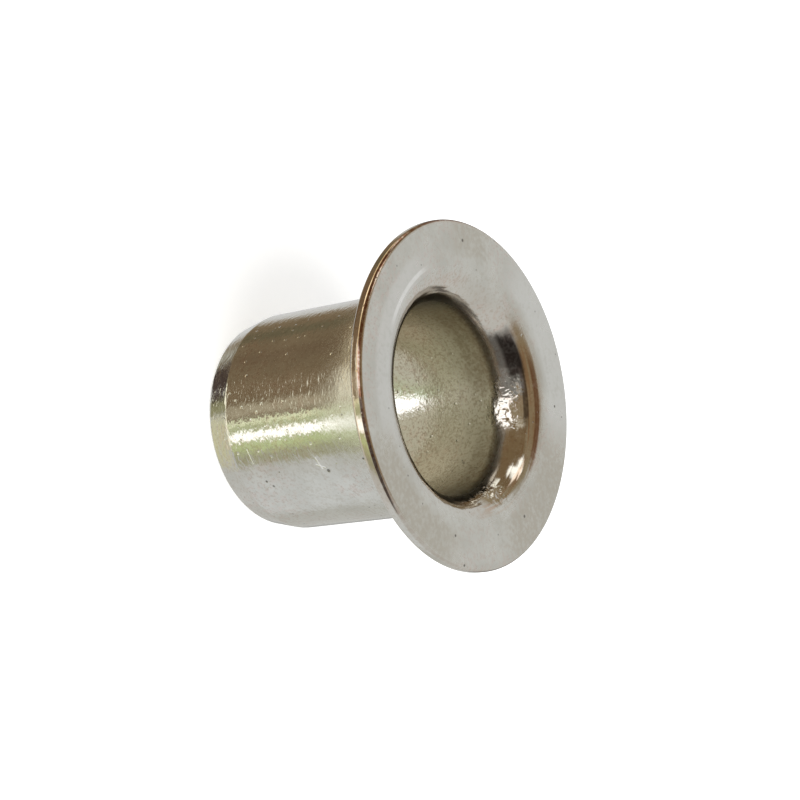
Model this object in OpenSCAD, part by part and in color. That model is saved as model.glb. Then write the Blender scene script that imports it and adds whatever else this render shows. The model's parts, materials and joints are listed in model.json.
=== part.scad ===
// Tubular rivet: a one-piece drawn eyelet, standing on its open nose with the flange up.
// The shell is one sheet section turned about the Z axis. Its sharp corners are listed once,
// and each edge or bend of the sheet is then rounded by a true arc. Sizes are in millimetres.

/* [Flange] */
// Diameter of the flange
flange_d = 9.3; // [8.4:0.05:12]
// Thickness of the flange
flange_t = 0.37; // [0.25:0.01:0.6]
// Rounding of both edges of the flange's rim
rim_r = 0.13; // [0.04:0.01:0.18]

/* [Barrel] */
// Outer diameter of the barrel
barrel_d = 6; // [5:0.05:6.4]
// Height from the end of the nose to the top of the flange
overall_h = 6.7; // [5:0.05:14]
// Thickness of the drawn wall
wall_t = 0.45; // [0.3:0.01:0.55]
// Bend inside the mouth, from the flange down into the bore
mouth_r = 1.15; // [0.8:0.01:1.3]
// Bend outside, from the barrel out to the underside of the flange
under_flange_r = 0.55; // [0.3:0.01:0.75]

/* [Nose] */
// Length of the tapered nose
nose_len = 0.76; // [0.4:0.02:1.2]
// Outer diameter at the end of the nose
nose_d = 5.66; // [4.6:0.02:5.9]
// Rounding of the edge between the barrel and the nose
nose_edge_r = 0.5; // [0.2:0.05:1]
// Rounding of the outer edge at the open end
end_r = 0.1; // [0.03:0.01:0.14]

/* [Hidden] */
// Nickel plating
plating = [0.73, 0.72, 0.69];
// Segments in a full turn
$fn = 128;

flange_r = flange_d / 2;
barrel_r = barrel_d / 2;
bore_r = barrel_r - wall_t;
nose_r = nose_d / 2;
under_z = overall_h - flange_t;

// The nose leans in by this angle, and its wall keeps the thickness of the barrel's wall
nose_lean = atan((barrel_r - nose_r) / nose_len);
nose_in_r = nose_r - wall_t / cos(nose_lean);
nose_in_z = nose_len + wall_t * tan(nose_lean / 2);

// Corners of the sheet's section as [radius, height]
end_inner = [nose_in_r, 0];
end_outer = [nose_r, 0];
nose_edge = [barrel_r, nose_len];
under_bend = [barrel_r, under_z];
rim_lower = [flange_r, under_z];
rim_upper = [flange_r, overall_h];
mouth_bend = [bore_r, overall_h];
nose_inner = [bore_r, nose_in_z];

function unit(v) = v / norm(v);

// What lies between a corner and the arc that touches both edges that leave it
module corner(at, one_way, other_way, r) {
    a = unit(one_way - at);
    b = unit(other_way - at);
    half = acos(a * b) / 2;
    reach = r / tan(half);
    difference() {
        polygon([at, at + a * reach, at + b * reach]);
        translate(at + unit(a + b) * r / sin(half)) circle(r = r);
    }
}

// Half section of the sheet, to the right of the axis
module sheet_section() {
    difference() {
        union() {
            polygon([end_inner, end_outer, nose_edge, under_bend, rim_lower, rim_upper, mouth_bend, nose_inner]);
            corner(under_bend, nose_edge, rim_lower, under_flange_r);
        }
        corner(end_outer, end_inner, nose_edge, end_r);
        corner(nose_edge, end_outer, under_bend, nose_edge_r);
        corner(rim_lower, under_bend, rim_upper, rim_r);
        corner(rim_upper, rim_lower, mouth_bend, rim_r);
        corner(mouth_bend, rim_upper, nose_inner, mouth_r);
    }
}

module rivet() {
    color(plating) rotate_extrude() sheet_section();
}

rivet();
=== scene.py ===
"""Looks of a drawn tubular rivet: a fine shell turned from its sheet section, in a small pale studio."""

import json
import math
from typing import NamedTuple

import bpy
from mathutils import Matrix, Vector


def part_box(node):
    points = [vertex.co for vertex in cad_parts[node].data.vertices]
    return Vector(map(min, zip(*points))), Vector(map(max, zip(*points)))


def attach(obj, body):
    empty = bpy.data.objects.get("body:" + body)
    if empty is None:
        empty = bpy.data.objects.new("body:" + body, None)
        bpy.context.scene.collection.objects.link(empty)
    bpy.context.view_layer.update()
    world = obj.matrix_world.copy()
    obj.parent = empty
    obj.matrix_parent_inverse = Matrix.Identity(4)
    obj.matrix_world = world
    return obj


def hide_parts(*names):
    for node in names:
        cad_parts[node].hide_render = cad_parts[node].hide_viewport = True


bl_info = {
    "name": "Tubular Rivet",
    "version": (1, 0, 0),
    "blender": (4, 5, 0),
    "location": "View3D > Sidebar > Rivet",
    "description": "Builds a nickel plated tubular rivet over its packed solid, and a studio for it",
    "category": "Object",
}

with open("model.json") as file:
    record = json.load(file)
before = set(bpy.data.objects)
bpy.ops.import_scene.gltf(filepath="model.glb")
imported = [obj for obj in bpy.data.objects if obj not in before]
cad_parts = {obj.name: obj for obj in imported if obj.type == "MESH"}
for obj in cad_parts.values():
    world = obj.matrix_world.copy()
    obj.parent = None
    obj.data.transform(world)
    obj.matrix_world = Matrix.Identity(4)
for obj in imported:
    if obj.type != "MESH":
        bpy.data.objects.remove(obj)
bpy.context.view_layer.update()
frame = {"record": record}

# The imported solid, and the sizes that its record and box give
NODE = "rivet"
BODY = "root"
MM = 0.001
MICRON = 0.000001
# The middle of a noise, which runs from 0 to 1
NOISE_MIDDLE = 0.5
BOX_LOW, BOX_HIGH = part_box(NODE)
MOUNTS = {mount["name"]: mount for mount in frame["record"]["mounts"]}
FLANGE_RADIUS = (BOX_HIGH.x - BOX_LOW.x) / 2
HEIGHT = BOX_HIGH.z
BORE_RADIUS = MOUNTS["bore"]["dims"]["r_mm"] * MM
BARREL_RADIUS = MOUNTS["barrel"]["dims"]["r_mm"] * MM
FLANGE_THICKNESS = HEIGHT - MOUNTS["flange_seat"]["pos_m"][2]


def length_property(name, description, default):
    """A size that the panel shows as a length."""
    return bpy.props.FloatProperty(
        name=name, description=description, default=default, min=0.0, precision=6, subtype="DISTANCE"
    )


def colour_property(name, description, default):
    """A colour, written in linear light."""
    return bpy.props.FloatVectorProperty(
        name=name, description=description, default=default, min=0.0, max=4.0, size=3, subtype="COLOR"
    )


def share_property(name, description, default):
    """A value between 0 and 1."""
    return bpy.props.FloatProperty(
        name=name, description=description, default=default, min=0.0, max=1.0, subtype="FACTOR"
    )


def angle_property(name, description, degrees):
    """An angle, given here in degrees."""
    return bpy.props.FloatProperty(
        name=name, description=description, default=math.radians(degrees), subtype="ANGLE"
    )


def pixel_property(name, description, default):
    """A length in the picture."""
    return bpy.props.FloatProperty(
        name=name, description=description, default=default, min=1.0, subtype="PIXEL"
    )


class RivetSizes(bpy.types.PropertyGroup):
    """Sizes of the sheet section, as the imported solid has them, and of its unevenness."""

    flange_radius: length_property("Flange Radius", "Outside of the flange", FLANGE_RADIUS)
    flange_thickness: length_property("Flange Thickness", "Sheet in the flange", FLANGE_THICKNESS)
    rim_rounding: length_property("Rim Rounding", "Both edges of the flange's rim", 0.13 * MM)
    barrel_radius: length_property("Barrel Radius", "Outside of the barrel", BARREL_RADIUS)
    wall_thickness: length_property("Wall Thickness", "Drawn wall", BARREL_RADIUS - BORE_RADIUS)
    height: length_property("Height", "From the nose's end to the flange's face", HEIGHT)
    mouth_bend: length_property("Mouth Bend", "From the flange's face into the bore", 1.15 * MM)
    under_bend: length_property("Under Bend", "From the barrel out to the flange", 0.55 * MM)
    nose_length: length_property("Nose Length", "Tapered end of the barrel", 0.76 * MM)
    nose_radius: length_property("Nose Radius", "Outside of the nose at its end", 2.83 * MM)
    nose_edge: length_property("Nose Edge", "Rounding between barrel and nose", 0.5 * MM)
    end_rounding: length_property("End Rounding", "Outer edge of the open end", 0.1 * MM)
    end_burr: length_property("End Burr", "Inner edge of the open end", 0.04 * MM)
    spacing: length_property("Spacing", "Longest face along the section", 0.11 * MM)
    ripple: length_property("Ripple", "Depth of the drawn sheet's unevenness", 0.004 * MM)
    ding_depth: length_property("Ding Depth", "Crumples on the mouth, from lowest to highest", 0.06 * MM)
    ding_reach: length_property("Ding Reach", "Radius of the crumpled places on the mouth", 0.58 * MM)
    segments: bpy.props.IntProperty(
        name="Segments", description="Faces in a full turn", default=384, min=64, max=512
    )
    seed: bpy.props.FloatProperty(name="Seed", description="Seed of the unevenness", default=3.0)


class RivetFinish(bpy.types.PropertyGroup):
    """Colours, roughness and skin of the nickel plating."""

    nickel: colour_property("Nickel", "Plating over most of it", (0.665, 0.655, 0.60))
    nickel_dull: colour_property("Dull Nickel", "Plating where it is cloudy", (0.60, 0.59, 0.535))
    clean: colour_property("Clean Nickel", "Plating where it is clean", (0.73, 0.725, 0.69))
    blush: colour_property("Blush", "Faint copper cast through thin plating", (0.66, 0.585, 0.53))
    copper: colour_property("Copper", "Base metal at the rim and the mouth", (0.50, 0.30, 0.17))
    # Umber: brown lines on the rim's edges, partly wear and partly painted dark reflection, and a painted
    # dark reflection line on the mouth's bend
    umber: colour_property("Umber", "Rubbed edges of the rim", (0.27, 0.14, 0.085))
    # Bright: scratches painted lighter, partly fresh plating and partly painted glint, and the painted
    # highlight line on the mouth's bend
    bright: colour_property("Bright", "Freshly scratched plating", (0.93, 0.92, 0.89))
    # Stained plating on the face, and partly painted shade near the mouth
    stain: colour_property("Stain", "Stained plating on the face", (0.53, 0.495, 0.42))
    # Tarnish and painted shade: fine brown specks, and the painted shade on the bore's wall below the bend
    tarnish: colour_property("Tarnish", "Fine brown specks", (0.34, 0.30, 0.24))
    # Near-black colour for the painted dark reflection and the thin painted dark line on the mouth's bend
    soot: colour_property("Soot", "Dark patch on the mouth's bend", (0.05, 0.05, 0.052))
    # Darker colour in the pits
    grime: colour_property("Grime", "Bottom of pits", (0.10, 0.09, 0.075))
    face_roughness: share_property("Face Roughness", "Satin of the flange's face", 0.30)
    wall_roughness: share_property("Wall Roughness", "Polish of the drawn walls", 0.10)
    bore_roughness: share_property("Bore Roughness", "Polish inside the bore", 0.13)
    throat_roughness: share_property("Throat Roughness", "Added where the bore meets the mouth", 0.17)
    pebble: length_property("Pebble", "Depth of the pebbled skin on the drawn walls", 8.5 * MICRON)


class RivetStage(bpy.types.PropertyGroup):
    """Camera, floor and light."""

    photo_px: pixel_property("Picture Size", "Pixels across", 800.0)
    focal_px: pixel_property("Focal Length", "Camera's focal length in pixels", 2030.7)
    face_px: bpy.props.FloatVectorProperty(
        name="Face Centre",
        description="Pixel of the centre of the flange's face",
        default=(471.26, 394.22),
        size=2,
    )
    distance: bpy.props.FloatProperty(
        name="Distance", description="Depth of that centre in flange radii", default=11.4165
    )
    tilt: angle_property("Tilt", "Angle between the view and the rivet's axis", 53.174)
    lean: angle_property("Lean", "Angle in the picture from level to the rivet's axis", 8.723)
    floor_size: length_property("Floor Size", "Side of the floor", 2.0)
    floor_colour: colour_property("Floor Colour", "Pale floor", (0.9, 0.9, 0.89))
    floor_glow: share_property("Floor Glow", "White that the camera alone sees", 0.55)
    nose_spot: length_property("Nose Spot", "Radius of the floor that the bore mirrors", 2.7 * MM)
    # The floor in the nose glows in these colours for the metal alone: painted reflections in the bore
    nose_left: colour_property("Nose Left", "Floor in the nose at -X", (0.69, 0.65, 0.52))
    nose_right: colour_property("Nose Right", "Floor in the nose at +X", (0.74, 0.71, 0.60))
    deep_left: colour_property("Deep Left", "The same at -X, mirrored twice", (0.94, 0.86, 0.68))
    deep_right: colour_property("Deep Right", "The same at +X, mirrored twice", (0.74, 0.66, 0.50))
    strip_colour: colour_property("Strip Colour", "Bright strip on that floor", (2.6, 2.62, 2.75))
    fringe_colour: colour_property("Fringe Colour", "Green beside the strip", (0.62, 0.69, 0.45))
    pale_wall: colour_property("Pale Wall", "Studio behind the cards", (0.73, 0.735, 0.735))
    ambient: share_property("Ambient", "Plain light from all round", 0.45)
    lamp_power: bpy.props.FloatProperty(
        name="Lamp Power", description="Power of the soft lamp", default=1.6, min=0.0, subtype="POWER"
    )
    lamp_size: length_property("Lamp Size", "Across the soft lamp", 0.35)
    lamp_place: bpy.props.FloatVectorProperty(
        name="Lamp Place",
        description="Centre of the soft lamp, which points at the origin",
        default=(0.12, -0.10, 0.45),
        size=3,
        subtype="TRANSLATION",
    )


class Nodes:
    """Adds nodes to one tree. An input takes a plain value or another node's output."""

    def __init__(self, tree):
        self.tree = tree

    def add(self, kind, inputs=None, **settings):
        node = self.tree.nodes.new(kind)
        for name, value in settings.items():
            setattr(node, name, value)
        for key, value in (inputs or {}).items():
            self.put(node.inputs[key], value)
        return node

    def put(self, socket, value):
        if isinstance(value, bpy.types.NodeSocket):
            self.tree.links.new(value, socket)
        else:
            socket.default_value = value

    def math(self, operation, *values):
        return self.add("ShaderNodeMath", dict(enumerate(values)), operation=operation).outputs[0]

    def vector(self, operation, *values):
        return self.add("ShaderNodeVectorMath", dict(enumerate(values)), operation=operation)

    def scaled(self, vector, factor):
        inputs = {0: vector, "Scale": factor}
        return self.add("ShaderNodeVectorMath", inputs, operation="SCALE").outputs[0]

    def product(self, first, *others):
        """Several values multiplied together."""
        for other in others:
            first = self.math("MULTIPLY", first, other)
        return first

    def step(self, value, low, high):
        """A smooth step from 0 at low to 1 at high."""
        inputs = {"Value": value, "From Min": low, "From Max": high}
        return self.add("ShaderNodeMapRange", inputs, interpolation_type="SMOOTHSTEP").outputs["Result"]

    def spread(self, value, low, high):
        """A share from 0 to 1 turned into a value from low to high."""
        inputs = {"Value": value, "To Min": low, "To Max": high}
        return self.add("ShaderNodeMapRange", inputs).outputs["Result"]

    def mix(self, share, first, second):
        """A colour between two, by a share."""
        return self.add("ShaderNodeMix", {0: share, 6: first, 7: second}, data_type="RGBA").outputs[2]

    def noise(self, place, scale, detail=2.0, roughness=0.5):
        """A noise from 0 to 1."""
        inputs = {"Vector": place, "Scale": scale, "Detail": detail, "Roughness": roughness}
        return self.add("ShaderNodeTexNoise", inputs).outputs[0]


def emptied(owner):
    """The Nodes of a material or a world that has none in it yet."""
    owner.use_nodes = True
    owner.node_tree.nodes.clear()
    return Nodes(owner.node_tree)


def placed(context, name, data):
    """A new object in the scene."""
    thing = bpy.data.objects.new(name, data)
    context.scene.collection.objects.link(thing)
    return thing


def new_group(name, kind, inputs, outputs):
    """A node group with named sockets, its Nodes, its input sockets and its output node."""
    tree = bpy.data.node_groups.new(name, kind)
    for label, socket_type in inputs:
        tree.interface.new_socket(label, in_out="INPUT", socket_type=socket_type)
    for label, socket_type in outputs:
        tree.interface.new_socket(label, in_out="OUTPUT", socket_type=socket_type)
    nodes = Nodes(tree)
    given = nodes.add("NodeGroupInput").outputs
    result = nodes.add("NodeGroupOutput").inputs
    return tree, nodes, given, result


FLOAT = "NodeSocketFloat"
VECTOR = "NodeSocketVector"

# Sizes that the shell's nodes take as plain numbers
SHELL_SIZES = [name for name in RivetSizes.__annotations__ if name != "segments"]

# Crumpled places on the mouth: the angle round the axis, then how far out from the bore and below the face
DINGS = (
    (math.radians(18.0), 0.33 * MM, 0.33 * MM),
    (math.radians(77.0), 0.09 * MM, 0.78 * MM),
)
# Share of a crumpled place's radius that is crumpled in full
DING_CORE = 0.2
# Noise scales per metre, for the ripple in the sheet and the crumples
RIPPLE_SCALE = 900.0
CRUMPLE_SCALE = 5600.0
# Points in an arc of a quarter turn, and in the slight bends of the nose
ARC_POINTS = 20
SLIGHT_POINTS = 4


def section_corners(nodes, size):
    """Corners of the sheet section as (radius, height, rounding, arc points) sockets and values."""
    drop = nodes.math("SUBTRACT", size["barrel_radius"], size["nose_radius"])
    lean = nodes.math("ARCTANGENT", nodes.math("DIVIDE", drop, size["nose_length"]))
    slant = nodes.math("DIVIDE", size["wall_thickness"], nodes.math("COSINE", lean))
    half_tangent = nodes.math("TANGENT", nodes.product(lean, 0.5))
    rise = nodes.product(size["wall_thickness"], half_tangent)
    bore_radius = nodes.math("SUBTRACT", size["barrel_radius"], size["wall_thickness"])
    nose_inside = nodes.math("SUBTRACT", size["nose_radius"], slant)
    nose_inner_z = nodes.math("ADD", size["nose_length"], rise)
    under_z = nodes.math("SUBTRACT", size["height"], size["flange_thickness"])
    return [
        (nose_inside, 0.0, size["end_burr"], SLIGHT_POINTS),
        (size["nose_radius"], 0.0, size["end_rounding"], SLIGHT_POINTS * 2),
        (size["barrel_radius"], size["nose_length"], size["nose_edge"], SLIGHT_POINTS),
        (size["barrel_radius"], under_z, size["under_bend"], ARC_POINTS),
        (size["flange_radius"], under_z, size["rim_rounding"], ARC_POINTS // 2),
        (size["flange_radius"], size["height"], size["rim_rounding"], ARC_POINTS // 2),
        (bore_radius, size["height"], size["mouth_bend"], ARC_POINTS * 2),
        (bore_radius, nose_inner_z, size["nose_edge"], SLIGHT_POINTS),
    ]


def switch_by_index(nodes, data_type, values):
    """A field that takes its value from a list by point index."""
    node = nodes.add("GeometryNodeIndexSwitch", data_type=data_type)
    while len(node.index_switch_items) < len(values):
        node.index_switch_items.new()
    nodes.put(node.inputs[0], nodes.add("GeometryNodeInputIndex").outputs[0])
    for number, value in enumerate(values):
        nodes.put(node.inputs[number + 1], value)
    return node.outputs[0]


def section_curve(nodes, size):
    """The closed section, rounded by true arcs, with its straight runs cut into short faces.
    Its X is the radius beyond the barrel's, and its Y the depth below the floor, for the turning."""
    corners = section_corners(nodes, size)
    places = []
    for radius, z, _, _ in corners:
        out = nodes.math("SUBTRACT", radius, size["barrel_radius"])
        down = nodes.product(z, -1.0)
        places.append(nodes.add("ShaderNodeCombineXYZ", {"X": out, "Y": down}).outputs[0])
    line = nodes.add("GeometryNodeMeshLine", {"Count": len(corners)}).outputs[0]
    place = switch_by_index(nodes, "VECTOR", places)
    sharp = nodes.add("GeometryNodeSetPosition", {"Geometry": line, "Position": place}).outputs[0]
    curve = nodes.add("GeometryNodeMeshToCurve", {"Mesh": sharp}).outputs[0]
    closed = nodes.add("GeometryNodeSetSplineCyclic", {"Geometry": curve, "Cyclic": True}).outputs[0]
    rounded = nodes.add("GeometryNodeFilletCurve", {"Curve": closed}, mode="POLY")
    nodes.put(rounded.inputs["Count"], switch_by_index(nodes, "INT", [c[3] for c in corners]))
    nodes.put(rounded.inputs["Radius"], switch_by_index(nodes, "FLOAT", [c[2] for c in corners]))
    counted = {"Geometry": rounded.outputs[0]}
    points = nodes.add("GeometryNodeAttributeDomainSize", counted, component="CURVE").outputs["Point Count"]
    here = nodes.add("GeometryNodeInputPosition").outputs[0]
    index = nodes.add("GeometryNodeInputIndex").outputs[0]
    following = nodes.math("FLOORED_MODULO", nodes.math("ADD", index, 1.0), points)
    after = nodes.add(
        "GeometryNodeFieldAtIndex", {"Value": here, "Index": following}, data_type="FLOAT_VECTOR"
    )
    run = nodes.vector("DISTANCE", here, after.outputs[0]).outputs["Value"]
    cuts = nodes.math("FLOOR", nodes.math("DIVIDE", run, size["spacing"]))
    return nodes.add("GeometryNodeSubdivideCurve", {"Curve": rounded.outputs[0], "Cuts": cuts}).outputs[0]


def seeded_noise(nodes, place, seed, scale):
    """A noise in the form of the shell, from 0 to 1."""
    inputs = {"Vector": place, "W": seed, "Scale": scale, "Detail": 1.0}
    return nodes.add("ShaderNodeTexNoise", inputs, noise_dimensions="4D").outputs[0]


def unevenness(nodes, size):
    """How far each point stands off the true form: a slight ripple, always inwards, and the crumples."""
    place = nodes.add("GeometryNodeInputPosition").outputs[0]
    wave = seeded_noise(nodes, place, size["seed"], RIPPLE_SCALE)
    ripple = nodes.product(nodes.math("SUBTRACT", wave, 1.0), size["ripple"])
    dent = seeded_noise(nodes, place, size["seed"], CRUMPLE_SCALE)
    crumple = nodes.product(nodes.math("SUBTRACT", dent, NOISE_MIDDLE), size["ding_depth"])
    bore_radius = nodes.math("SUBTRACT", size["barrel_radius"], size["wall_thickness"])
    near = 0.0
    for angle, out, down in DINGS:
        radius = nodes.math("ADD", bore_radius, out)
        x = nodes.product(radius, math.cos(angle))
        y = nodes.product(radius, math.sin(angle))
        z = nodes.math("SUBTRACT", size["height"], down)
        centre = nodes.add("ShaderNodeCombineXYZ", {"X": x, "Y": y, "Z": z}).outputs[0]
        away = nodes.vector("DISTANCE", place, centre).outputs["Value"]
        here = nodes.step(nodes.math("DIVIDE", away, size["ding_reach"]), 1.0, DING_CORE)
        near = nodes.math("MAXIMUM", near, here)
    return nodes.math("ADD", ripple, nodes.product(crumple, near))


def shell_tree():
    """Turns the sheet section about the axis, roughens it a little and gives it its material."""
    inputs = [(name, FLOAT) for name in SHELL_SIZES]
    inputs += [("segments", "NodeSocketInt"), ("finish", "NodeSocketMaterial")]
    geometry = "NodeSocketGeometry"
    tree, nodes, given, result = new_group("rivet shell", "GeometryNodeTree", inputs, [("Shell", geometry)])
    size = {name: given[name] for name in SHELL_SIZES}
    section = section_curve(nodes, size)
    inputs = {"Resolution": given["segments"], "Radius": size["barrel_radius"]}
    turn = nodes.add("GeometryNodeCurvePrimitiveCircle", inputs, mode="RADIUS")
    turned = nodes.add("GeometryNodeCurveToMesh", {"Curve": turn.outputs[0], "Profile Curve": section})
    outward = nodes.add("GeometryNodeInputNormal").outputs[0]
    offset = nodes.scaled(outward, unevenness(nodes, size))
    outside_out = nodes.add("GeometryNodeFlipFaces", {"Mesh": turned.outputs[0]}).outputs[0]
    uneven = nodes.add("GeometryNodeSetPosition", {"Geometry": outside_out, "Offset": offset}).outputs[0]
    smooth = nodes.add("GeometryNodeSetShadeSmooth", {"Geometry": uneven}).outputs[0]
    whole = nodes.add("GeometryNodeRealizeInstances", {"Geometry": smooth}).outputs[0]
    finished = nodes.add("GeometryNodeSetMaterial", {"Geometry": whole, "Material": given["finish"]})
    nodes.put(result["Shell"], finished.outputs[0])
    return tree


def group_node(nodes, tree, **inputs):
    """A shader group placed with its own values, and its outputs."""
    node = nodes.add("ShaderNodeGroup", node_tree=tree)
    for name, value in inputs.items():
        nodes.put(node.inputs[name], value)
    return node.outputs


# The two grains of the pebbled skin: shares of the height, detail, and how much coarser the second is
FINE_SHARE = 0.6
FINE_DETAIL = (1.5, 0.55)
COARSE_SHARE = 0.8
COARSE_DETAIL = 1.0
COARSE_GRAIN = 0.42
# Shares of a pit's radius and a scratch's width that have the full depth
PIT_CORE = 0.4
SCRATCH_CORE = 0.3


def pebble_group():
    """Pebbled skin of drawn sheet, as a height about zero."""
    inputs = [("Place", VECTOR), ("Grain", FLOAT)]
    tree, nodes, given, result = new_group("pebbled skin", "ShaderNodeTree", inputs, [("Height", FLOAT)])
    wide = nodes.product(given["Grain"], COARSE_GRAIN)
    fine = nodes.product(nodes.noise(given["Place"], given["Grain"], *FINE_DETAIL), FINE_SHARE)
    coarse = nodes.product(nodes.noise(given["Place"], wide, COARSE_DETAIL), COARSE_SHARE)
    middle = (FINE_SHARE + COARSE_SHARE) * NOISE_MIDDLE
    nodes.put(result["Height"], nodes.math("SUBTRACT", nodes.math("ADD", fine, coarse), middle))
    return tree


def pit_group():
    """Small round pits in some cells of a pattern, as a mask."""
    inputs = [("Place", VECTOR), ("Density", FLOAT), ("Share", FLOAT), ("Size", FLOAT)]
    tree, nodes, given, result = new_group("pits", "ShaderNodeTree", inputs, [("Mask", FLOAT)])
    cells = nodes.add("ShaderNodeTexVoronoi", {"Vector": given["Place"], "Scale": given["Density"]})
    chance = nodes.add("ShaderNodeSeparateColor", {"Color": cells.outputs["Color"]}).outputs[0]
    chosen = nodes.math("LESS_THAN", chance, given["Share"])
    away = nodes.math("DIVIDE", cells.outputs["Distance"], given["Density"])
    round_pit = nodes.step(nodes.math("DIVIDE", away, given["Size"]), 1.0, PIT_CORE)
    nodes.put(result["Mask"], nodes.product(chosen, round_pit))
    return tree


def scratch_group():
    """One straight scratch between two points, as a mask."""
    inputs = [("Place", VECTOR), ("Start", VECTOR), ("End", VECTOR), ("Width", FLOAT)]
    tree, nodes, given, result = new_group("scratch", "ShaderNodeTree", inputs, [("Mask", FLOAT)])
    along = nodes.vector("SUBTRACT", given["End"], given["Start"]).outputs[0]
    reach = nodes.vector("SUBTRACT", given["Place"], given["Start"]).outputs[0]
    full = nodes.vector("DOT_PRODUCT", along, along).outputs["Value"]
    share = nodes.math("DIVIDE", nodes.vector("DOT_PRODUCT", reach, along).outputs["Value"], full)
    held = nodes.add("ShaderNodeClamp", {"Value": share}).outputs[0]
    away = nodes.vector("DISTANCE", reach, nodes.scaled(along, held)).outputs["Value"]
    nodes.put(result["Mask"], nodes.step(nodes.math("DIVIDE", away, given["Width"]), 1.0, SCRATCH_CORE))
    return tree


def rgba(colour):
    """A colour as a socket takes it."""
    return (*colour, 1.0)


# Scratches on the barrel in millimetres, as two ends and a width
SCRATCHES = (
    ((1.03, -2.82, 3.48), (1.33, -2.69, 3.56), 0.035),
    ((1.20, -2.75, 3.42), (1.30, -2.70, 3.66), 0.03),
    ((0.55, -2.95, 1.30), (0.95, -2.85, 1.36), 0.02),
)

# Single pits in millimetres, as a place and a radius: on the barrel, then on the face
PITS = (
    ((1.395, -2.656, 3.72), 0.07),
    ((1.203, -2.748, 4.99), 0.045),
    ((1.474, -2.613, 1.53), 0.05),
    ((-4.05, 0.68, 6.70), 0.06),
    ((3.50, -1.65, 6.70), 0.05),
    ((3.45, 1.60, 6.69), 0.06),
    ((4.30, -1.46, 6.70), 0.05),
    ((0.69, 3.90, 6.70), 0.05),
)

# Scattered pits, and the shallow dents in the drawn walls
LARGE_PITS = {"Density": 1.3, "Share": 0.2, "Size": 0.06}
SMALL_PITS = {"Density": 4.0, "Share": 0.12, "Size": 0.035}
SMALL_PIT_STRENGTH = 0.7
DENTS = {"Density": 5.0, "Share": 0.18, "Size": 0.05}

# Skin of the crumpled places on the mouth's bend in millimetres, as a middle, a reach and a turn upwards
BRUISES = (
    ((2.72, 0.90, 6.30), 0.5, 0.0),
    ((0.58, 2.57, 5.92), 0.66, 0.3),
    ((0.02, 2.68, 6.00), 0.5, 0.16),
)
# How far their outline wanders in millimetres, the share crumpled in full, and the noise's scale and detail
BRUISE_RAGGED = (-0.2, 0.2)
BRUISE_CORE = 0.2
BRUISE_NOISE = (8.0, 1.0)
# How far the neck in the barrel turns upwards
NECK_TURN = 0.09


class Patch(NamedTuple):
    """A cast on the plating: degrees round the axis, then millimetres or degrees along the bend."""

    angle: float
    half_angle: float
    level: float
    half_level: float
    share: float
    colour: str


# Casts on the flat face, by radius: lighter clean plating, and stains, the one at 38 degrees near the mouth
# partly painted shade
FACE_PATCHES = (
    Patch(105, 45, 4.15, 0.7, 0.8, "clean"),
    Patch(-118, 55, 3.72, 0.4, 0.8, "clean"),
    Patch(-52, 36, 4.15, 0.6, 0.9, "stain"),
    # Partly stain, partly painted shade near the mouth
    Patch(38, 36, 4.1, 0.8, 0.9, "stain"),
    Patch(166, 14, 4.2, 0.6, 0.7, "stain"),
)

# Painted shade, brown, on the bore's wall below the bend, by height
WALL_PATCHES = (
    Patch(122, 44, 5.55, 0.8, 0.75, "tarnish"),
    Patch(38, 34, 5.6, 0.7, 0.5, "tarnish"),
)

# Painted light on the mouth's bend, by degrees from the bore: a painted dark reflection, a thin painted
# dark line along a crease, a painted dark reflection line along the brown's outline, and a painted
# highlight line
BEND_PATCHES = (
    # Painted dark reflection, and beside it a thin painted dark line along a crease
    Patch(109, 18, 43, 15, 1.0, "soot"),
    Patch(86, 22, 49.5, 5, 0.85, "soot"),
    # Painted dark reflection line along the outline of the brown
    Patch(76, 36, 66, 5, 0.8, "umber"),
    # Painted highlight line where the bend leaves the face
    Patch(-143, 22, 83, 4, 0.75, "bright"),
)

# How solid the patches of each kind are, the flecks that break them up, and degrees that their ends wander
FACE_SOLID = 0.4
WALL_SOLID = 0.5
BEND_SOLID = 0.8
PATCH_FLECKS = (0.3, 0.6)
PATCH_WANDER = (-4.0, 4.0)

# Share of a patch's width and length that has its full strength
BAND_CORE = 0.5

# Noises of the plating, as a scale per millimetre, a detail and a roughness
CLOUD_NOISE = (0.9, 4.0, 0.6)
PATCH_NOISE = (0.55, 3.0, 0.55)
FLECK_NOISE = (7.0, 2.0, 0.6)
SPECK_NOISE = (14.0, 2.0, 0.65)

# Where zones start and where they are full. First, in millimetres below the face
FACE_DEPTH = (0.12, 0.02)
BORE_DEPTH = (0.6, 1.1)
THROAT_LOWER = (3.2, 1.8)
THROAT_UPPER = (0.5, 0.9)
UPPER_EDGE_DEPTH = (0.1, 0.07)
# In millimetres in from the rim
RIM_REACH = (0.14, 0.03)
UPPER_EDGE_REACH = (0.08, 0.045)
LOWER_EDGE_REACH = (0.2, 0.1)
# In millimetres up from the flange's underside
LOWER_EDGE_RISE = (0.06, 0.02)
NECK_RISE = (-2.0, -1.4)
# In shares of the mouth's bend: from its centre, out from the bore, and below the face
SKIN_REACH = (0.83, 0.92)
BEND_REACH = (0.75, 0.35)
LEAD_REACH = (1.25, 1.0)
THROAT_REACH = 0.5
BEND_DEPTH = (1.15, 0.7)
# In degrees along the bend from the bore
LEAD_ROLL = (30.0, 50.0)
# The far side of the bend, in millimetres along +Y leant to +X, and out from the bore
FAR_LEAN = 0.6
FAR_SIDE = (1.2, 2.4)
FAR_REACH = (0.32, 0.48)
# How far the rings on the bend wander, in millimetres for each degree
RING_WANDER = 0.004


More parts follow.
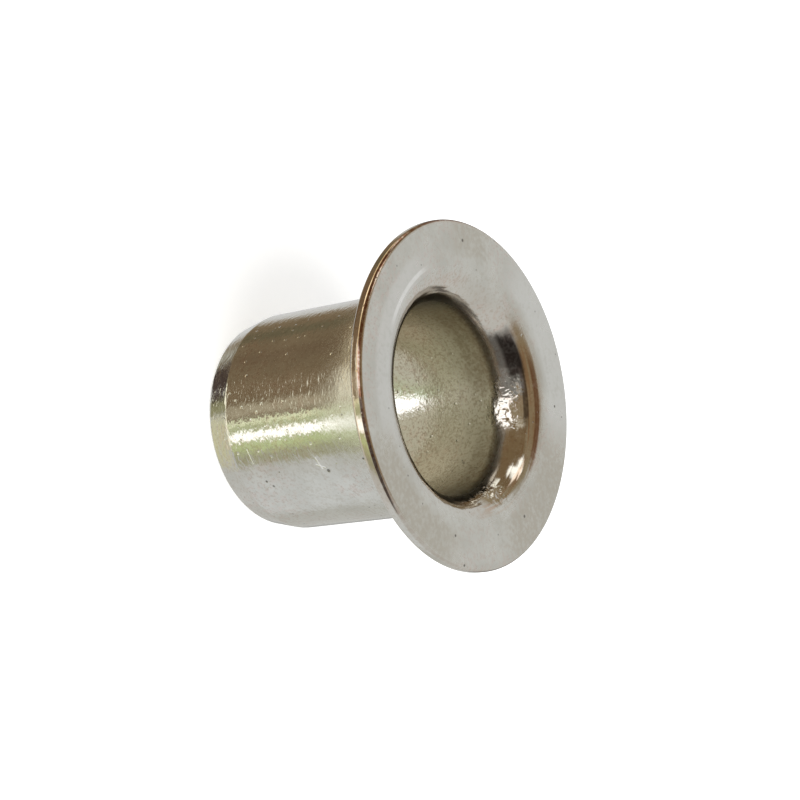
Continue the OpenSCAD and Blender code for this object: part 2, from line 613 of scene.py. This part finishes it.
class Zones:
    """Where a point lies on the rivet, as masks and measures in millimetres and degrees."""

    def __init__(self, nodes, place, sizes):
        self.place = place
        self.top = sizes.height / MM
        self.rim = sizes.flange_radius / MM
        self.bore = (sizes.barrel_radius - sizes.wall_thickness) / MM
        self.mouth = sizes.mouth_bend / MM
        self.under = self.top - sizes.flange_thickness / MM
        self.x, self.y, self.z = nodes.add("ShaderNodeSeparateXYZ", {"Vector": place}).outputs
        flat = nodes.add("ShaderNodeCombineXYZ", {"X": self.x, "Y": self.y}).outputs[0]
        self.radius = nodes.vector("LENGTH", flat).outputs["Value"]
        self.angle = nodes.math("DEGREES", nodes.math("ARCTAN2", self.y, self.x))
        self.cloud = nodes.noise(place, *CLOUD_NOISE)
        self.patch = nodes.noise(place, *PATCH_NOISE)
        self.fleck = nodes.noise(place, *FLECK_NOISE)
        self.speck = nodes.noise(place, *SPECK_NOISE)
        self.on_face = self.below_face(nodes, FACE_DEPTH)
        self.off_face = nodes.math("SUBTRACT", 1.0, self.on_face)
        self.on_rim = self.in_from_rim(nodes, RIM_REACH)
        self.measure_bend(nodes)
        self.measure_walls(nodes, self.bore + sizes.wall_thickness / MM / 2)

    def below_face(self, nodes, fade, unit=1.0):
        start, full = fade
        return nodes.step(self.z, self.top - start * unit, self.top - full * unit)

    def in_from_rim(self, nodes, fade):
        start, full = fade
        return nodes.step(self.radius, self.rim - start, self.rim - full)

    def out_from_bore(self, nodes, fade, unit=1.0):
        start, full = fade
        return nodes.step(self.radius, self.bore + start * unit, self.bore + full * unit)

    def above_underside(self, nodes, fade):
        start, full = fade
        return nodes.step(self.z, self.under + start, self.under + full)

    def measure_bend(self, nodes):
        out = nodes.math("SUBTRACT", self.bore + self.mouth, self.radius)
        up = nodes.math("SUBTRACT", self.z, self.top - self.mouth)
        spoke = nodes.add("ShaderNodeCombineXYZ", {"X": out, "Y": up}).outputs[0]
        reach = nodes.vector("LENGTH", spoke).outputs["Value"]
        self.roll = nodes.math("DEGREES", nodes.math("ARCTAN2", up, out))
        self.bend_skin = nodes.step(reach, *(self.mouth * share for share in SKIN_REACH))
        near_face = self.below_face(nodes, BEND_DEPTH, self.mouth)
        self.on_bend = nodes.product(self.out_from_bore(nodes, BEND_REACH, self.mouth), near_face)
        lead = self.out_from_bore(nodes, LEAD_REACH, self.mouth)
        self.bend_lead = nodes.product(lead, nodes.step(self.roll, *LEAD_ROLL))
        slant = nodes.math("ADD", self.y, nodes.product(self.x, FAR_LEAN))
        far = nodes.step(slant, *FAR_SIDE)
        self.far_bend = nodes.product(far, lead, self.bend_skin, self.out_from_bore(nodes, FAR_REACH))
        wander = nodes.product(self.angle, RING_WANDER)
        inputs = {"X": self.radius, "Y": self.z, "Z": wander}
        self.ring_place = nodes.add("ShaderNodeCombineXYZ", inputs).outputs[0]

    def measure_walls(self, nodes, wall_middle):
        within = nodes.math("LESS_THAN", self.radius, wall_middle)
        self.in_bore = nodes.product(within, self.below_face(nodes, BORE_DEPTH))
        low = self.below_face(nodes, THROAT_LOWER)
        high = self.below_face(nodes, THROAT_UPPER)
        inner_side = nodes.math("LESS_THAN", self.radius, self.bore + self.mouth * THROAT_REACH)
        self.throat = nodes.product(low, high, inner_side)
        outside = nodes.math("SUBTRACT", 1.0, within)
        under_flange = nodes.math("LESS_THAN", self.z, self.under)
        self.neck = nodes.product(self.above_underside(nodes, NECK_RISE), outside, under_flange)


def band(nodes, value, middle, half):
    """1 about a middle value, fading to 0 at half the band from it."""
    off = nodes.math("ABSOLUTE", nodes.math("SUBTRACT", value, middle))
    return nodes.step(off, half, half * BAND_CORE)


def paint_patches(nodes, colour, patches, zones, level, held, solid, finish):
    """Patches laid over a colour where a mask holds them, broken up where they aren't solid."""
    ragged = nodes.product(nodes.spread(nodes.step(zones.fleck, *PATCH_FLECKS), solid, 1.0), held)
    shaken = nodes.math("ADD", zones.angle, nodes.spread(zones.fleck, *PATCH_WANDER))
    for patch in patches:
        across = band(nodes, level, patch.level, patch.half_level)
        around = band(nodes, shaken, patch.angle, patch.half_angle)
        mask = nodes.product(around, across, ragged, patch.share)
        colour = nodes.mix(mask, colour, rgba(getattr(finish, patch.colour)))
    return colour


# Noise values where each mark on the plating starts and is full, and its strength. The dust has one
# strength off the flange's face and one on it, and the wall's specks one outside and one in the bore
DULL_CLOUDS = (0.35, 0.65)
THIN_FLECKS = (0.45, 0.7)
THIN_STRENGTH = 0.35
BLUSH_PATCHES = (0.42, 0.62)
BLUSH_FLECKS = (0.42, 0.66)
BLUSH_STRENGTH = 0.7
DUST_SPECKS = (0.54, 0.7)
DUST_PATCHES = (0.44, 0.6)
DUST_STRENGTH = (0.3, 0.25)
WALL_SPECKS = (0.48, 0.6)
WALL_STRENGTH = (0.14, 0.48)
WALL_FLECKS = (0.4, 0.62)
WALL_BREAKS = (0.4, 1.0)
RING_NOISE = (11.0, 1.0)
RINGS = (0.5, 0.62)
RING_STRENGTH = 0.55
PIT_DARKENING = 0.8


def plate_colour(nodes, zones, finish):
    """Clouded nickel with a copper cast, stains on the face with some painted shade, specks on the drawn
    walls, painted shade in the bore, and painted dark reflections and a painted highlight on the mouth's
    bend.
    """
    dull = nodes.step(zones.cloud, *DULL_CLOUDS)
    colour = nodes.mix(dull, rgba(finish.nickel), rgba(finish.nickel_dull))
    thin = nodes.product(nodes.step(zones.fleck, *THIN_FLECKS), THIN_STRENGTH)
    colour = nodes.mix(thin, colour, rgba(finish.stain))
    blush = nodes.product(nodes.step(zones.patch, *BLUSH_PATCHES), BLUSH_STRENGTH)
    blush = nodes.product(blush, nodes.step(zones.fleck, *BLUSH_FLECKS))
    colour = nodes.mix(blush, colour, rgba(finish.blush))
    dust = nodes.product(nodes.step(zones.speck, *DUST_SPECKS), nodes.step(zones.patch, *DUST_PATCHES))
    dust = nodes.product(dust, nodes.spread(zones.on_face, *DUST_STRENGTH))
    colour = nodes.mix(dust, colour, rgba(finish.tarnish))
    drawn = nodes.product(nodes.step(zones.speck, *WALL_SPECKS), zones.off_face)
    drawn = nodes.product(drawn, nodes.spread(zones.in_bore, *WALL_STRENGTH))
    broken = nodes.spread(nodes.step(zones.fleck, *WALL_FLECKS), *WALL_BREAKS)
    colour = nodes.mix(nodes.product(drawn, broken), colour, rgba(finish.tarnish))
    # Painted shade on the bore's wall below the bend
    colour = paint_patches(nodes, colour, WALL_PATCHES, zones, zones.z, zones.in_bore, WALL_SOLID, finish)
    colour = paint_patches(
        nodes, colour, FACE_PATCHES, zones, zones.radius, zones.on_face, FACE_SOLID, finish
    )
    rings = nodes.step(nodes.noise(zones.ring_place, *RING_NOISE), *RINGS)
    rings = nodes.product(rings, zones.on_bend, zones.far_bend, RING_STRENGTH)
    colour = nodes.mix(rings, colour, rgba(finish.copper))
    return paint_patches(
        nodes, colour, BEND_PATCHES, zones, zones.roll, zones.bend_skin, BEND_SOLID, finish
    )


# The copper where the rim is rubbed and the brown edge lines, which are partly painted dark reflection, are
# strongest on one side, in millimetres along +X leant to +Y and along +Y
STRONG_LEAN = 0.5
STRONG_SIDE = (1.5, -1.5)
STRONG_NEAR = (3.5, 0.5)
# Strength of the brown lines and of the copper, off that side and on it
LINES_BY_SIDE = (0.15, 1.0)
COPPER_RUBBED = (0.2, 1.0)
# How they vary with the flecks and the patches
LINE_FLECKS = (0.35, 0.6)
LINE_BREAKS = (0.5, 1.0)
RIM_COPPER = (0.0, 0.5)
BEND_COPPER = (0.0, 0.2)
LOWER_EDGE_STRENGTH = 0.6


def rim_copper_and_lines(nodes, zones, colour, finish):
    """Copper through thin plating on the rim and the bend, and brown lines along the rim's edges, partly
    wear and partly painted dark reflection.
    """
    upper = zones.below_face(nodes, UPPER_EDGE_DEPTH)
    upper = nodes.product(upper, zones.in_from_rim(nodes, UPPER_EDGE_REACH))
    lower = zones.above_underside(nodes, LOWER_EDGE_RISE)
    lower = nodes.product(lower, zones.in_from_rim(nodes, LOWER_EDGE_REACH), LOWER_EDGE_STRENGTH)
    edges = nodes.math("MAXIMUM", upper, lower)
    slant = nodes.math("ADD", zones.x, nodes.product(zones.y, STRONG_LEAN))
    strong_side = nodes.product(nodes.step(slant, *STRONG_SIDE), nodes.step(zones.y, *STRONG_NEAR))
    broken = nodes.spread(nodes.step(zones.fleck, *LINE_FLECKS), *LINE_BREAKS)
    # Brown lines along the rim's edges: partly wear, partly painted dark reflection
    edge_lines = nodes.product(edges, broken, nodes.spread(strong_side, *LINES_BY_SIDE))
    on_rim = nodes.product(zones.on_rim, nodes.spread(zones.patch, *RIM_COPPER))
    on_rim = nodes.product(on_rim, nodes.spread(strong_side, *COPPER_RUBBED))
    on_bend = nodes.product(zones.on_bend, nodes.spread(zones.patch, *BEND_COPPER))
    colour = nodes.mix(nodes.math("MAXIMUM", on_rim, on_bend), colour, rgba(finish.copper))
    return nodes.mix(edge_lines, colour, rgba(finish.umber))


def scratch_mask(nodes, place):
    """All the scratches, as one mask."""
    scratch = scratch_group()
    marks = 0.0
    for start, end, width in SCRATCHES:
        mask = group_node(nodes, scratch, Place=place, Start=start, End=end, Width=width)["Mask"]
        marks = nodes.math("MAXIMUM", marks, mask)
    return marks


def pit_mask(nodes, pits, place):
    """Scattered pits and the single ones, as one mask."""
    large = group_node(nodes, pits, Place=place, **LARGE_PITS)["Mask"]
    small = group_node(nodes, pits, Place=place, **SMALL_PITS)["Mask"]
    pitted = nodes.math("MAXIMUM", large, nodes.product(small, SMALL_PIT_STRENGTH))
    for centre, size in PITS:
        away = nodes.vector("DISTANCE", place, centre).outputs["Value"]
        pitted = nodes.math("MAXIMUM", pitted, nodes.step(away, size, size * PIT_CORE))
    return pitted


def bruise_masks(nodes, zones):
    """The crumpled places on the mouth's bend, as a ragged mask and as a turn upwards."""
    crumpled = 0.0
    lift = 0.0
    ragged = nodes.spread(zones.fleck, *BRUISE_RAGGED)
    for centre, reach, turned_up in BRUISES:
        away = nodes.vector("DISTANCE", zones.place, centre).outputs["Value"]
        mask = nodes.step(nodes.math("ADD", away, ragged), reach, reach * BRUISE_CORE)
        crumpled = nodes.math("MAXIMUM", crumpled, mask)
        lift = nodes.math("MAXIMUM", lift, nodes.product(mask, turned_up))
    return crumpled, lift


# How the roughness varies on the face and, from least to most, on the walls, and what scratches add to it
FACE_VARIES = 0.2
WALL_VARIES = (0.7, 1.3)
SCRATCH_ROUGHNESS = 0.15


def plate_roughness(nodes, zones, finish, marks, crumpled):
    """Satin on the face, polished walls, and a duller throat."""
    uneven = nodes.product(nodes.math("SUBTRACT", zones.cloud, NOISE_MIDDLE), FACE_VARIES)
    satin = nodes.math("ADD", finish.face_roughness, uneven)
    polish = nodes.product(finish.wall_roughness, nodes.spread(zones.patch, *WALL_VARIES))
    bore_gap = finish.bore_roughness - finish.wall_roughness
    polish = nodes.math("ADD", polish, nodes.product(zones.in_bore, bore_gap))
    dulled = nodes.product(zones.throat, nodes.math("SUBTRACT", 1.0, crumpled))
    polish = nodes.math("ADD", polish, nodes.product(dulled, finish.throat_roughness))
    share = nodes.product(zones.on_face, nodes.math("SUBTRACT", 1.0, zones.on_rim))
    face_gap = nodes.product(share, nodes.math("SUBTRACT", satin, polish))
    roughness = nodes.math("ADD", polish, face_gap)
    return nodes.math("ADD", roughness, nodes.product(marks, SCRATCH_ROUGHNESS))


# The pebbled skin: how the drawing stretches it, its grains per millimetre, and what is left in each zone
WALL_STRETCH = (0.65, 0.65, 1.4)
WALL_GRAIN = 12.0
BORE_GRAIN = 19.0
FACE_PEBBLE = 0.3
PEBBLE_LEFT = {"on_rim": 0.35, "on_bend": 0.4, "bend_lead": 0.35, "in_bore": 0.45, "throat": 0.9}
# Lumps on the bend, lower on the side at -X, and ridges, as noises and as heights in microns
LUMP_NOISE = (2.6, 0.0)
LUMP_SIDE = (-2.0, 0.0)
LUMP_HEIGHTS = (5.0, 15.0)
RIDGE_NOISE = (9.0, 1.0)
RIDGE_HEIGHT = 6.0
# Heights and depths of the other marks, in microns
BRUISE_HEIGHT = 20.0
DENT_DEPTH = 6.0
PIT_DEPTH = 6.0
SCRATCH_DEPTH = 3.0


def pebbled_skin(nodes, zones, finish):
    """The pebbled skin of the drawn sheet, finer in the bore, in microns."""
    pebble = pebble_group()
    stretched = nodes.vector("MULTIPLY", zones.place, WALL_STRETCH).outputs[0]
    wall_grain = group_node(nodes, pebble, Place=stretched, Grain=WALL_GRAIN)["Height"]
    bore_grain = group_node(nodes, pebble, Place=zones.place, Grain=BORE_GRAIN)["Height"]
    gap = nodes.product(zones.in_bore, nodes.math("SUBTRACT", bore_grain, wall_grain))
    grain = nodes.math("ADD", wall_grain, gap)
    amount = nodes.product(finish.pebble / MICRON, nodes.spread(zones.off_face, FACE_PEBBLE, 1.0))
    for zone, left in PEBBLE_LEFT.items():
        amount = nodes.product(amount, nodes.spread(getattr(zones, zone), 1.0, left))
    return nodes.product(grain, amount)


def plate_height(nodes, zones, finish, pits, marks, pitted, crumpled):
    """Pebbled skin, dents, lumps and ridges on the bend, bruises, pits and scratches, in microns."""
    height = pebbled_skin(nodes, zones, finish)
    dents = group_node(nodes, pits, Place=zones.place, **DENTS)["Mask"]
    dents = nodes.product(dents, nodes.math("SUBTRACT", zones.off_face, zones.on_bend))
    height = nodes.math("SUBTRACT", height, nodes.product(dents, DENT_DEPTH))
    lumps = nodes.product(nodes.noise(zones.place, *LUMP_NOISE), zones.on_bend)
    lump_height = nodes.spread(nodes.step(zones.x, *LUMP_SIDE), *LUMP_HEIGHTS)
    height = nodes.math("ADD", height, nodes.product(lumps, lump_height))
    ridges = nodes.product(nodes.noise(zones.ring_place, *RIDGE_NOISE), zones.far_bend)
    height = nodes.math("ADD", height, nodes.product(ridges, RIDGE_HEIGHT))
    crumple = nodes.product(nodes.noise(zones.place, *BRUISE_NOISE), BRUISE_HEIGHT, crumpled)
    height = nodes.math("ADD", height, crumple)
    height = nodes.math("SUBTRACT", height, nodes.product(pitted, PIT_DEPTH))
    return nodes.math("SUBTRACT", height, nodes.product(marks, SCRATCH_DEPTH))


def turned_normal(nodes, height, lift):
    """The surface normal with the skin's height as bump, turned upwards by a share."""
    bump = nodes.add("ShaderNodeBump", {"Strength": 1.0, "Distance": MICRON, "Height": height}).outputs[0]
    upwards = nodes.add("ShaderNodeCombineXYZ", {"Z": lift}).outputs[0]
    upwards = nodes.add(
        "ShaderNodeVectorTransform", {"Vector": upwards}, convert_from="OBJECT", convert_to="WORLD"
    ).outputs[0]
    return nodes.vector("NORMALIZE", nodes.vector("ADD", bump, upwards).outputs[0]).outputs[0]


def nickel_material(finish, sizes):
    """Nickel over brass: satin face, pebbled walls, copper showing at the rim and the rolled mouth."""
    material = bpy.data.materials.new("nickel_plate")
    nodes = emptied(material)
    place = nodes.scaled(nodes.add("ShaderNodeTexCoord").outputs["Object"], 1.0 / MM)
    zones = Zones(nodes, place, sizes)
    pits = pit_group()
    marks = scratch_mask(nodes, place)
    pitted = pit_mask(nodes, pits, place)
    crumpled, lift = bruise_masks(nodes, zones)
    lift = nodes.math("MAXIMUM", lift, nodes.product(zones.neck, NECK_TURN))
    colour = rim_copper_and_lines(nodes, zones, plate_colour(nodes, zones, finish), finish)
    # The pits are made darker
    colour = nodes.mix(nodes.product(pitted, PIT_DARKENING), colour, rgba(finish.grime))
    # Scratches painted lighter: real marks that carry a painted glint
    colour = nodes.mix(marks, colour, rgba(finish.bright))
    height = plate_height(nodes, zones, finish, pits, marks, pitted, crumpled)
    inputs = {
        "Metallic": 1.0,
        "Base Color": colour,
        "Roughness": plate_roughness(nodes, zones, finish, marks, crumpled),
        "Normal": turned_normal(nodes, height, lift),
    }
    shader = nodes.add("ShaderNodeBsdfPrincipled", inputs)
    nodes.add("ShaderNodeOutputMaterial", {"Surface": shader.outputs[0]})
    return material


class RIVET_OT_shell(bpy.types.Operator):
    """Build the rivet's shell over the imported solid"""

    bl_idname = "rivet.shell"
    bl_label = "Rivet Shell"

    def execute(self, context):
        sizes = context.scene.rivet_sizes
        finish = nickel_material(context.scene.rivet_finish, sizes)
        tree = shell_tree()
        maker = placed(context, "rivet maker", bpy.data.meshes.new("rivet seed"))
        modifier = maker.modifiers.new("shell", "NODES")
        modifier.node_group = tree
        identifiers = {s.name: s.identifier for s in tree.interface.items_tree if s.in_out == "INPUT"}
        for name in (*SHELL_SIZES, "segments"):
            modifier[identifiers[name]] = getattr(sizes, name)
        modifier[identifiers["finish"]] = finish
        graph = context.evaluated_depsgraph_get()
        mesh = bpy.data.meshes.new_from_object(maker.evaluated_get(graph))
        bpy.data.objects.remove(maker)
        mesh.name = "rivet_shell"
        if not mesh.polygons:
            raise RuntimeError("the shell came out empty")
        shell = placed(context, "rivet_shell", mesh)
        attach(shell, BODY)
        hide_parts(NODE)
        return {"FINISHED"}


class Card(NamedTuple):
    """A soft-edged card in the studio that the metal mirrors, by direction from the rivet in degrees."""

    azimuth: float
    half_width: float
    elevation: float
    half_height: float
    softness: float
    colour: tuple


# The studio in the metal: a warm wall on one side, a dark doorway and window strips before the pale wall.
# Azimuth 0 is towards the camera, and positive goes towards +X. Each card lies over those above it here
CARDS = (
    Card(-72, 66, 10, 72, 8, (0.37, 0.30, 0.20)),
    Card(-80, 38, 20, 36, 9, (0.24, 0.165, 0.09)),
    Card(0, 180, 82, 18, 8, (0.33, 0.245, 0.15)),
    Card(130, 26, -38, 16, 8, (0.62, 0.62, 0.60)),
    Card(84, 26, -38, 14, 8, (0.80, 0.82, 0.845)),
    Card(-72, 62, -40, 14, 6, (0.25, 0.185, 0.115)),
    Card(-110, 7, -40, 14, 5, (0.185, 0.155, 0.095)),
    Card(-77, 8, -40, 14, 6, (0.225, 0.16, 0.1)),
    Card(-40, 12, -40, 14, 8, (0.27, 0.195, 0.12)),
    Card(-128, 20, -62, 8, 5, (0.60, 0.60, 0.55)),
    Card(-46, 18, -64, 12, 5, (0.38, 0.37, 0.22)),
    Card(-76, 31, -62, 6, 4, (0.085, 0.06, 0.052)),
    Card(18, 42, -72, 9, 6, (0.82, 0.80, 0.56)),
    Card(4, 16, 28, 28, 4, (0.29, 0.285, 0.275)),
    Card(41, 22, 34, 35, 6, (0.17, 0.165, 0.16)),
    Card(24, 16, -26, 20, 6, (0.50, 0.49, 0.34)),
    Card(-19, 6, -26, 22, 3, (0.52, 0.45, 0.325)),
    Card(10, 18, -26, 22, 3, (0.62, 0.66, 0.40)),
    Card(-6, 2, -26, 22, 1.5, (1.15, 1.2, 0.85)),
    Card(19, 3.5, -26, 22, 2, (0.72, 0.82, 0.45)),
    Card(8.5, 4.5, -26, 22, 2.5, (2.1, 2.1, 2.1)),
    Card(-27, 17, -28, 5, 3, (1.3, 1.25, 1.05)),
    Card(-18, 40, -54.5, 4.5, 2, (1.5, 1.45, 1.2)),
    Card(-24, 14, 18, 28, 3, (1.9, 1.9, 1.95)),
    Card(-103, 11, 42, 10, 3, (1.8, 1.8, 1.75)),
    Card(-47, 6, 50, 5, 3, (0.75, 0.7, 0.6)),
    Card(-113, 7, 5, 12, 3, (1.5, 1.5, 1.4)),
    Card(-66, 46, -14, 7, 4, (1.3, 1.08, 0.68)),
    Card(-70, 11, -13, 9, 4, (2.1, 1.9, 1.4)),
    Card(180, 45, -18, 12, 6, (0.30, 0.30, 0.29)),
    Card(168, 10, -38, 10, 4, (0.42, 0.42, 0.41)),
)


def card_group():
    """Mask of one card by direction. Its width and height are given from the middle out."""
    names = ("Azimuth", "Elevation", "Centre", "Width", "Level", "Height", "Softness")
    inputs = [(name, FLOAT) for name in names]
    tree, nodes, given, result = new_group("studio card", "ShaderNodeTree", inputs, [("Mask", FLOAT)])
    turn = nodes.math("WRAP", nodes.math("SUBTRACT", given["Azimuth"], given["Centre"]), 180.0, -180.0)
    across = nodes.math("SUBTRACT", nodes.math("ABSOLUTE", turn), given["Width"])
    lift = nodes.math("SUBTRACT", given["Elevation"], given["Level"])
    above = nodes.math("SUBTRACT", nodes.math("ABSOLUTE", lift), given["Height"])
    edge = given["Softness"]
    inner = nodes.product(edge, -1.0)
    mask = nodes.product(nodes.step(across, edge, inner), nodes.step(above, edge, inner))
    nodes.put(result["Mask"], mask)
    return tree


def studio_colour(nodes, stage):
    """The studio that the metal mirrors: each card laid over the pale wall and the cards before it."""
    direction = nodes.add("ShaderNodeTexCoord").outputs["Generated"]
    x, y, z = nodes.add("ShaderNodeSeparateXYZ", {"Vector": direction}).outputs
    back = nodes.product(y, -1.0)
    azimuth = nodes.math("DEGREES", nodes.math("ARCTAN2", x, back))
    elevation = nodes.math("DEGREES", nodes.math("ARCSINE", z))
    tree = card_group()
    colour = rgba(stage.pale_wall)
    for card in CARDS:
        mask = group_node(
            nodes,
            tree,
            Azimuth=azimuth,
            Elevation=elevation,
            Centre=card.azimuth,
            Width=card.half_width,
            Level=card.elevation,
            Height=card.half_height,
            Softness=card.softness,
        )["Mask"]
        colour = nodes.mix(mask, colour, rgba(card.colour))
    return colour


def studio_world(stage):
    """Plain light from all round; the metal alone mirrors the studio's cards, and the camera sees white."""
    world = bpy.data.worlds.new("studio")
    world.cycles.sampling_method = "NONE"
    nodes = emptied(world)
    path = nodes.add("ShaderNodeLightPath").outputs
    plain = (stage.ambient, stage.ambient, stage.ambient, 1.0)
    lit = nodes.mix(path["Is Glossy Ray"], plain, studio_colour(nodes, stage))
    seen = nodes.mix(path["Is Camera Ray"], lit, (1.0, 1.0, 1.0, 1.0))
    background = nodes.add("ShaderNodeBackground", {"Color": seen})
    nodes.add("ShaderNodeOutputWorld", {"Surface": background.outputs[0]})
    return world


# A bright strip that the floor in the open nose gives off for the bore to mirror, a painted reflection,
# with soft edges and a green fringe
STRIP_MIDDLE = -0.8 * MM
STRIP_HALF_WIDTH = 0.33 * MM
STRIP_HALF_LENGTH = 1.06 * MM
STRIP_SIDE_EDGE = 0.2
STRIP_END_EDGE = 0.05
FRINGE = 1.5 * MM
# What is left of the strip when it is mirrored twice, and the mirrorings that count as one
STRIP_AGAIN = 0.06
ONE_MIRROR = 1.5
# How far from the middle the floor in the nose turns from its left colour to its right one
NOSE_BLEND = 1.2 * MM


def soft_end(nodes, value, half, edge):
    """1 inside half a width, with an edge as a share of it."""
    return nodes.step(value, half * (1.0 + edge), half * (1.0 - edge))


def nose_glow(nodes, stage, place):
    """Light that the floor in the open nose gives off for the metal to mirror, once or more than once:
    painted reflection colours, not lit floor.
    """
    x, y, _ = nodes.add("ShaderNodeSeparateXYZ", {"Vector": place}).outputs
    sides = soft_end(nodes, nodes.math("ABSOLUTE", x), STRIP_HALF_WIDTH, STRIP_SIDE_EDGE)
    beyond = nodes.math("ABSOLUTE", nodes.math("SUBTRACT", y, STRIP_MIDDLE))
    ends = soft_end(nodes, beyond, STRIP_HALF_LENGTH, STRIP_END_EDGE)
    fringe = nodes.step(x, FRINGE, STRIP_HALF_WIDTH)
    fringe = nodes.product(fringe, nodes.step(x, 0.0, STRIP_HALF_WIDTH))
    right = nodes.step(x, 0.0, NOSE_BLEND)
    direct = nodes.math("LESS_THAN", nodes.add("ShaderNodeLightPath").outputs["Glossy Depth"], ONE_MIRROR)
    once = nodes.mix(right, rgba(stage.nose_left), rgba(stage.nose_right))
    twice = nodes.mix(right, rgba(stage.deep_left), rgba(stage.deep_right))
    colour = nodes.mix(direct, twice, once)
    colour = nodes.mix(fringe, colour, rgba(stage.fringe_colour))
    bright = nodes.product(sides, ends, nodes.spread(direct, STRIP_AGAIN, 1.0))
    return nodes.mix(bright, colour, rgba(stage.strip_colour))


def floor_material(stage):
    """A pale matt floor, lifted to white for the camera alone, that keeps the shadow.
    The metal mirrors only the part of it that lies in the open nose, which glows there in painted
    reflection colours."""
    material = bpy.data.materials.new("pale_floor")
    nodes = emptied(material)
    path = nodes.add("ShaderNodeLightPath").outputs
    matt = nodes.add("ShaderNodeBsdfDiffuse", {"Color": rgba(stage.floor_colour)})
    white = nodes.product(path["Is Camera Ray"], stage.floor_glow)
    glow = nodes.add("ShaderNodeEmission", {"Strength": white})
    both = nodes.add("ShaderNodeAddShader", {0: matt.outputs[0], 1: glow.outputs[0]})
    place = nodes.add("ShaderNodeTexCoord").outputs["Object"]
    away = nodes.vector("LENGTH", place).outputs["Value"]
    under_nose = nodes.math("LESS_THAN", away, stage.nose_spot)
    colour = nose_glow(nodes, stage, place)
    # The floor in the nose glows with painted reflection colours, seen only by the metal
    inside = nodes.add("ShaderNodeEmission", {"Color": colour, "Strength": under_nose})
    through = nodes.add("ShaderNodeBsdfTransparent")
    shut = nodes.add("ShaderNodeMixShader", {0: under_nose, 1: through.outputs[0], 2: inside.outputs[0]})
    mirrored = path["Is Glossy Ray"]
    surface = nodes.add("ShaderNodeMixShader", {0: mirrored, 1: both.outputs[0], 2: shut.outputs[0]})
    nodes.add("ShaderNodeOutputMaterial", {"Surface": surface.outputs[0]})
    return material


# What the camera clips, as shares of the depth of the flange's face
CLIP_NEAR = 0.02
CLIP_FAR = 200.0


def photo_camera(context, stage, sizes):
    """The photograph's camera: it looks down on the standing rivet, rolled so that the axis lies level."""
    tilt, lean = stage.tilt, stage.lean
    forward = Vector((0.0, math.sin(tilt), -math.cos(tilt)))
    upright = Vector((0.0, math.cos(tilt), math.sin(tilt)))
    side = Vector((1.0, 0.0, 0.0))
    right = math.cos(lean) * upright + math.sin(lean) * side
    down = math.cos(lean) * side - math.sin(lean) * upright
    middle = stage.photo_px / 2
    across = (stage.face_px[0] - middle) / stage.focal_px
    below = (stage.face_px[1] - middle) / stage.focal_px
    depth = stage.distance * sizes.flange_radius
    face = Vector((0.0, 0.0, sizes.height))
    data = bpy.data.cameras.new("photo_camera")
    data.lens = stage.focal_px / stage.photo_px * data.sensor_width
    data.clip_start = depth * CLIP_NEAR
    data.clip_end = depth * CLIP_FAR
    camera = placed(context, "photo_camera", data)
    turn = Matrix((right, -down, -forward)).transposed().to_4x4()
    turn.translation = face - depth * (forward + across * right + below * down)
    camera.matrix_world = turn
    context.scene.camera = camera


def soft_lamp(context, stage):
    """One broad lamp overhead, which lays a soft shadow on the floor and isn't mirrored."""
    data = bpy.data.lights.new("soft_lamp", "AREA")
    data.shape = "DISK"
    data.size = stage.lamp_size
    data.energy = stage.lamp_power
    lamp = placed(context, "soft_lamp", data)
    lamp.location = stage.lamp_place
    lamp.rotation_mode = "QUATERNION"
    lamp.rotation_quaternion = (-lamp.location).to_track_quat("-Z", "Y")
    lamp.visible_glossy = False


class RIVET_OT_stage(bpy.types.Operator):
    """Build the floor, the light and the camera"""

    bl_idname = "rivet.stage"
    bl_label = "Rivet Stage"

    def execute(self, context):
        stage = context.scene.rivet_stage
        half = stage.floor_size / 2
        mesh = bpy.data.meshes.new("floor")
        corners = [(-half, -half, 0.0), (half, -half, 0.0), (half, half, 0.0), (-half, half, 0.0)]
        mesh.from_pydata(corners, [], [(0, 1, 2, 3)])
        mesh.materials.append(floor_material(stage))
        floor = placed(context, "floor", mesh)
        context.scene.world = studio_world(stage)
        soft_lamp(context, stage)
        photo_camera(context, stage, context.scene.rivet_sizes)
        context.scene.view_settings.view_transform = "Standard"
        return {"FINISHED"}


class RIVET_PT_panel(bpy.types.Panel):
    """Lists the rivet's sizes, finish and stage"""

    bl_idname = "RIVET_PT_panel"
    bl_label = "Tubular Rivet"
    bl_space_type = "VIEW_3D"
    bl_region_type = "UI"
    bl_category = "Rivet"

    def draw(self, context):
        for name, group in GROUPS.items():
            box = self.layout.box()
            for value in group.__annotations__:
                box.prop(getattr(context.scene, name), value)
        self.layout.operator("rivet.shell")
        self.layout.operator("rivet.stage")


GROUPS = {"rivet_sizes": RivetSizes, "rivet_finish": RivetFinish, "rivet_stage": RivetStage}
CLASSES = (*GROUPS.values(), RIVET_OT_shell, RIVET_OT_stage, RIVET_PT_panel)


def register():
    for cls in CLASSES:
        bpy.utils.register_class(cls)
    for name, group in GROUPS.items():
        setattr(bpy.types.Scene, name, bpy.props.PointerProperty(type=group))


def unregister():
    for name in GROUPS:
        delattr(bpy.types.Scene, name)
    for cls in reversed(CLASSES):
        bpy.utils.unregister_class(cls)


def main():
    register()
    bpy.ops.rivet.shell()
    bpy.ops.rivet.stage()


if __name__ == "__main__":
    main()
